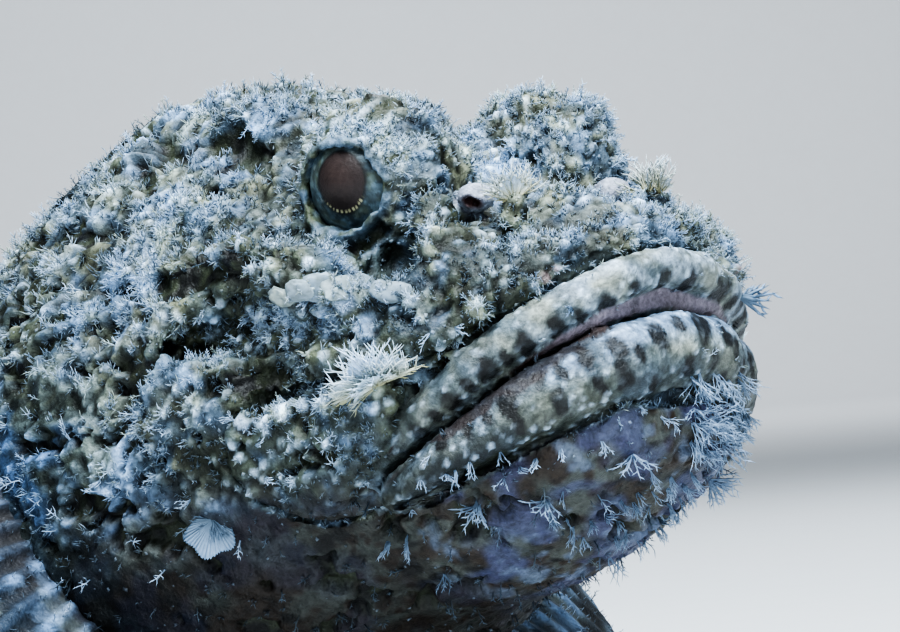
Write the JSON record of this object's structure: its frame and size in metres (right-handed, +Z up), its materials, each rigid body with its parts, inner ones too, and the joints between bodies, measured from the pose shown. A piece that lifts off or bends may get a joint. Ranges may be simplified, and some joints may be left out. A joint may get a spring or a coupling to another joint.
{
  "type": "false stonefish",
  "caption": "Squat, big-headed reef fish lying on its belly, head raised, wide downturned mouth, raised eyes, spread side fins, folded back spines, tail curved left.",
  "frame": {"origin": "on the floor, in the middle of the flat under the belly, on the head's plane of symmetry", "axes": "+X towards the snout, +Y towards the fish's left side, +Z up"},
  "size_m": [0.2439, 0.1502, 0.0832],
  "materials": {
    "skin": "matte, granular skin mottled pale grey, tan and dark brown",
    "lip": "matte, granular pale skin with dark bars",
    "fin": "matte membrane with banded rays",
    "eye": "glossy",
    "flap": "matte pale skin flap"
  },
  "bodies": {
    "root": {"head": "skin", "trunk": "skin", "tail_stock": "skin", "upper_jaw": "lip", "lower_jaw": "lip", "eye_right": "eye", "eye_left": "eye", "dorsal_fin_spiny": "fin", "dorsal_fin_soft": "fin", "anal_fin": "fin", "caudal_fin": "fin", "pectoral_fin_right": "fin", "pectoral_fin_left": "fin", "pelvic_fin_right": "fin", "pelvic_fin_left": "fin", "nostril_flap_right": "flap", "nostril_flap_left": "flap", "cheek_tassel_right": "flap", "cheek_tassel_left": "flap", "lip_tassel_right": "flap", "lip_tassel_left": "flap", "gill_flap_right": "flap", "gill_flap_left": "flap", "chin_tassel_front_right": "flap", "chin_tassel_front_left": "flap", "chin_tassel_side_right": "flap", "chin_tassel_side_left": "flap", "jaw_tassel_right": "flap", "jaw_tassel_left": "flap"}
  },
  "joints": []
}
